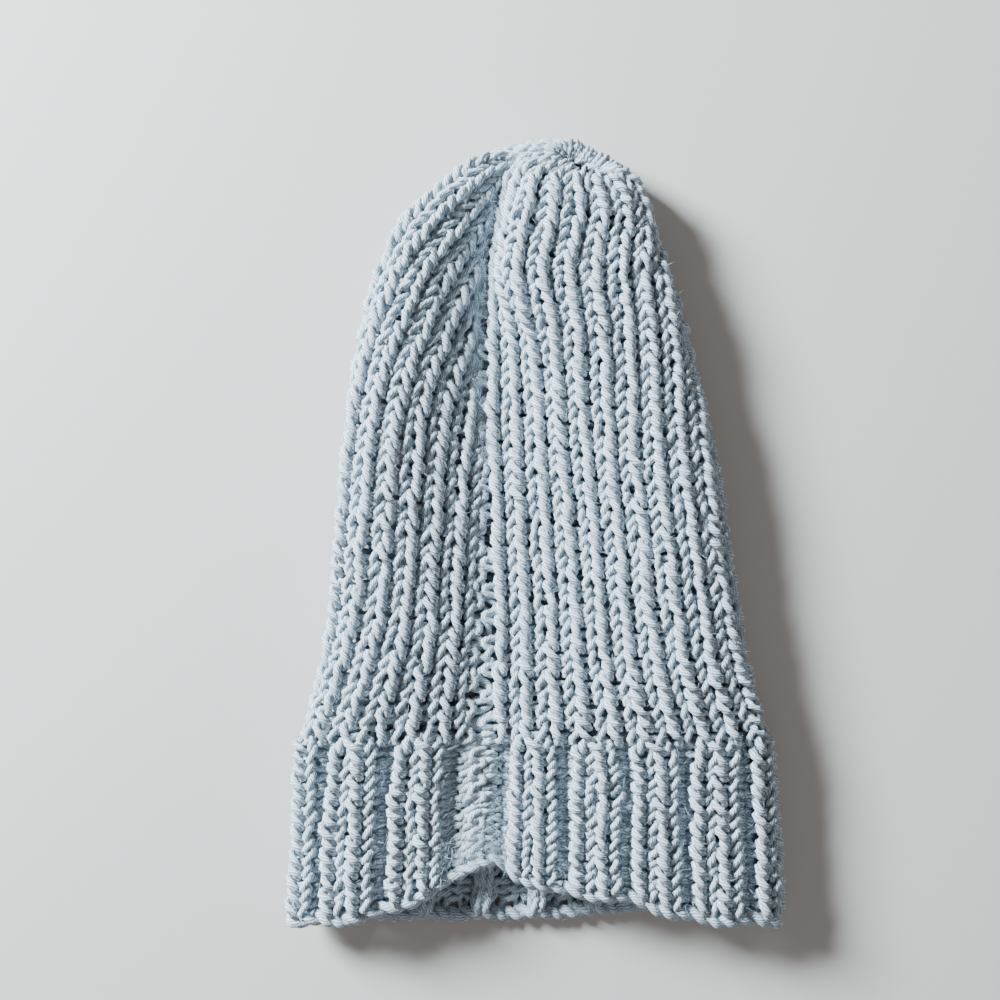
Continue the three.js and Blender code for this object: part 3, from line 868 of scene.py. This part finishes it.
class OBJECT_OT_beanie_body(bpy.types.Operator):
    """Knit the plain body and the drawn-in crown"""

    bl_idname = "object.beanie_body"
    bl_label = "Body and crown"

    def execute(self, context):
        rows = BRIM_ROWS + 0.5 + np.arange(BODY_ROWS)
        wales = np.arange(1.0, WALES)
        ones = np.ones(len(wales))
        loops = knit_rows(rows, wales, ones, ones, 0 * ones, np.zeros((1, 1, 1)), 0.0, SEEDS["body"])
        add_knit("body", BODY_PARTS, loops, BODY_BULGE)
        return {"FINISHED"}


class OBJECT_OT_beanie_brim(bpy.types.Operator):
    """Knit the ribbed band"""

    bl_idname = "object.beanie_brim"
    bl_label = "Ribbed band"

    def execute(self, context):
        # A column is a place, a width, a face that is 1 on a knit and -1 on a purl, a level and a lean
        place, width, level = SEAM_COLUMN
        columns = [(place, width, -1.0, level, 0.0)]
        for rib in range(RIB_SLOTS):
            if rib > 0:
                columns += [(2 * rib + at, wide, 1.0, high, lean) for at, wide, high, lean in RIB_COLUMNS]
            low = BACK_RECESS if rib in BACK_RIBS else FRONT_RECESS
            columns += [(2 * rib + at, wide, -1.0, low, lean) for at, wide, lean in RECESS_COLUMNS]
        columns += [(WALES - place, width, -1.0, level, 0.0)]
        centres, widths, faces, levels, leans = np.array(columns).T
        rows = 0.5 + np.arange(BRIM_ROWS)
        last_row = (rows > BRIM_ROWS - 1).astype(float)[:, None, None]
        loops = knit_rows(rows, centres, widths, faces, levels, leans[None, :, None] * last_row,
                          BRIM_TAPER, SEEDS["brim"])
        add_knit("brim", BRIM_PARTS, loops, BRIM_BULGE)
        return {"FINISHED"}


class OBJECT_OT_beanie_edge(bpy.types.Operator):
    """Make the cast-on edge"""

    bl_idname = "object.beanie_edge"
    bl_label = "Cast-on edge"

    def execute(self, context):
        # Two strands twine once in each wale: one's row is a cosine while its depth is a sine, the other
        # lies opposite, and both rise and fall with the ribs
        radius, lead = yarn_size()
        j = np.arange(WALES * EDGE_SAMPLES) / EDGE_SAMPLES
        rib = np.cos(np.pi * j)
        paths = []
        for phase in (0.0, np.pi):
            angle = 2 * np.pi * j + phase
            v = EDGE_ROW[0] + EDGE_ROW[1] * rib + EDGE_ROW[2] * np.cos(angle)
            z = EDGE_DEPTH[0] + EDGE_DEPTH[1] * rib + EDGE_DEPTH[2] * np.sin(angle)
            paths.append(lay(j, v, z, np.ones(len(j))))
        add_piece("cast_on_yarn", "cast_on_edge", paths, EDGE_SWELL * radius, lead, closed=True)
        return {"FINISHED"}


class OBJECT_OT_beanie_seam(bpy.types.Operator):
    """Make the sewing strand in the centre fold"""

    bl_idname = "object.beanie_seam"
    bl_label = "Seam"

    def execute(self, context):
        # Each strand zigzags up the fold: its place is a sine of the way up, steepened by a second wave,
        # and its depth a cosine of twice that, both with slow chance between knots
        radius, lead = yarn_size()
        rng = np.random.default_rng(SEEDS["seam"])
        knots = np.linspace(0, TOP_ROW, SEAM_KNOTS)
        paths = []
        for first, last, period, wide, low, phase in SEAM_STRANDS:
            v = np.linspace(first, last, int(SEAM_SAMPLES * (last - first)))
            wander, depth, skew = (np.interp(v, knots, rng.normal(0, SEAM_CHANCE[what], SEAM_KNOTS))
                                   for what in ("wander", "depth", "skew"))
            wave = 2 * np.pi * v / period + skew
            half = wide + SEAM_WIDER[0] * fade(v, *SEAM_WIDER[1:])
            j = half * np.sin(wave) * (1 + SEAM_SECOND_WAVE * np.cos(2 * wave)) + wander
            rise = SEAM_RISE * np.cos(2 * wave + phase)
            z = low + rise + depth - SEAM_DEEPER[0] * fade(v, *SEAM_DEEPER[1:])
            paths.append(lay(j, v, z, np.full(len(v), SEAM_SWELL)))
        add_piece("seam_yarn", "seam", paths, radius, lead)
        return {"FINISHED"}


class OBJECT_OT_beanie_tie(bpy.types.Operator):
    """Make the drawn-up yarn that closes the crown"""

    bl_idname = "object.beanie_tie"
    bl_label = "Crown tie"

    def execute(self, context):
        # A ring round the gather whose row is a sine and whose depth a cosine of several waves
        radius, lead = yarn_size()
        turn = np.arange(TIE_SAMPLES) / TIE_SAMPLES
        wave = 2 * np.pi * TIE_WAVES * turn
        point, out, _ = on_fabric(TIE_ROW[0] + TIE_ROW[1] * np.sin(wave), turn)
        z = TIE_DEPTH[0] + TIE_DEPTH[1] * np.cos(wave)
        path = (point + out * z[:, None], out, np.ones(TIE_SAMPLES))
        add_piece("crown_tie_yarn", "crown_tie", [path], radius * TIE_SWELL, lead, closed=True)
        return {"FINISHED"}


def make_hairs():
    """Loose fibres, each a needle of a few rings along a bent line: root, plus its length times a
    direction between outward and along the surface, plus a sideways bend that grows as the square of
    the way along. Returns vertices, the quads between the rings and the faces that close the ends."""
    rng = np.random.default_rng(SEEDS["fuzz"])
    j = rng.uniform(0.5, WALES - 0.5, HAIRS)
    v = rng.uniform(0.0, TOP_ROW - 1.0, HAIRS)
    in_tuft = rng.random(HAIRS) < TUFT_SHARE
    j = np.where(in_tuft, rng.normal(0, TUFT_SPREAD, HAIRS) % WALES, j)
    v = np.where(in_tuft, rng.uniform(0.0, TUFT_ROWS, HAIRS), v)
    root, out, _ = on_fabric(v, wale_turn(v, j))
    root = root + out * rng.uniform(*HAIR_ROOT, (HAIRS, 1))
    turn = rng.uniform(0, 2 * np.pi, HAIRS)[:, None]
    side = unit(np.cross(out, np.array([0.0, 1.0, 0.0])))
    flat = side * np.cos(turn) + np.cross(side, out) * np.sin(turn)
    lift = rng.uniform(*HAIR_LIFT, (HAIRS, 1))
    way = out * lift + flat * np.sqrt(1 - lift**2)
    bend = unit(np.cross(way, rng.normal(0, 1, (HAIRS, 3))))
    long = rng.uniform(*HAIR_LENGTH, (HAIRS, 1))
    q = np.linspace(0, 1, HAIR_RINGS)[None, :, None]
    line = root[:, None] + (long * way)[:, None] * q + (HAIR_BEND * long * bend)[:, None] * q**2
    line[..., 2] = np.maximum(line[..., 2], FLOOR_CLEARANCE)
    third = np.cross(way, bend)
    angle = (2 * np.pi * np.arange(HAIR_SIDES) / HAIR_SIDES)[None, :, None]
    ring = bend[:, None] * np.cos(angle) + third[:, None] * np.sin(angle)
    thin = HAIR_RADIUS * np.array(HAIR_TAPER)
    verts = line[:, :, None] + ring[:, None] * thin[None, :, None, None]
    base = HAIR_RINGS * HAIR_SIDES * np.arange(HAIRS)[:, None, None]
    i, k = np.meshgrid(np.arange(HAIR_RINGS - 1), np.arange(HAIR_SIDES), indexing="ij")
    low, k2 = HAIR_SIDES * i, (k + 1) % HAIR_SIDES
    quads = np.stack([low + k, low + k2, low + HAIR_SIDES + k2, low + HAIR_SIDES + k], -1)
    quads = (base + quads.reshape(1, -1, 4)).reshape(-1, 4)
    ends = np.append(k[0][::-1], low[-1] + HAIR_SIDES + k[0])
    return verts, quads, (base[:, 0] + ends).reshape(-1, HAIR_SIDES)


class OBJECT_OT_beanie_fuzz(bpy.types.Operator):
    """Make the fine loose fibres that stand off the yarn"""

    bl_idname = "object.beanie_fuzz"
    bl_label = "Loose fibres"

    def execute(self, context):
        verts, quads, ends = make_hairs()
        piece = add_mesh("yarn_fuzz", verts, [quads, ends], fibre_material())
        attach(piece, "root")
        return {"FINISHED"}


STEPS = (
    OBJECT_OT_beanie_stage,
    OBJECT_OT_beanie_body,
    OBJECT_OT_beanie_brim,
    OBJECT_OT_beanie_edge,
    OBJECT_OT_beanie_seam,
    OBJECT_OT_beanie_tie,
    OBJECT_OT_beanie_fuzz,
)


class VIEW3D_PT_beanie(bpy.types.Panel):
    """Lists the beanie's settings and its pieces"""

    bl_label = "Beanie"
    bl_idname = "VIEW3D_PT_beanie"
    bl_space_type = "VIEW_3D"
    bl_region_type = "UI"
    bl_category = "Beanie"

    def draw(self, context):
        for name in ("yarn_radius", "ply_lead", "yarn_colour", "dark_tone_and_groove_shade_colour", "floor_colour"):
            self.layout.prop(context.scene.beanie, name)
        for step in STEPS:
            self.layout.operator(step.bl_idname)


CLASSES = (BeanieSettings, *STEPS, VIEW3D_PT_beanie)


def register():
    """Adds the settings, the operators and the panel."""
    for item in CLASSES:
        bpy.utils.register_class(item)
    bpy.types.Scene.beanie = bpy.props.PointerProperty(type=BeanieSettings)


def unregister():
    """Takes them away again."""
    del bpy.types.Scene.beanie
    for item in reversed(CLASSES):
        bpy.utils.unregister_class(item)


def main():
    """Makes the stage and every piece."""
    register()
    bpy.ops.object.beanie_stage()
    bpy.ops.object.beanie_body()
    bpy.ops.object.beanie_brim()
    bpy.ops.object.beanie_edge()
    bpy.ops.object.beanie_seam()
    bpy.ops.object.beanie_tie()
    bpy.ops.object.beanie_fuzz()


if __name__ == "__main__":
    main()
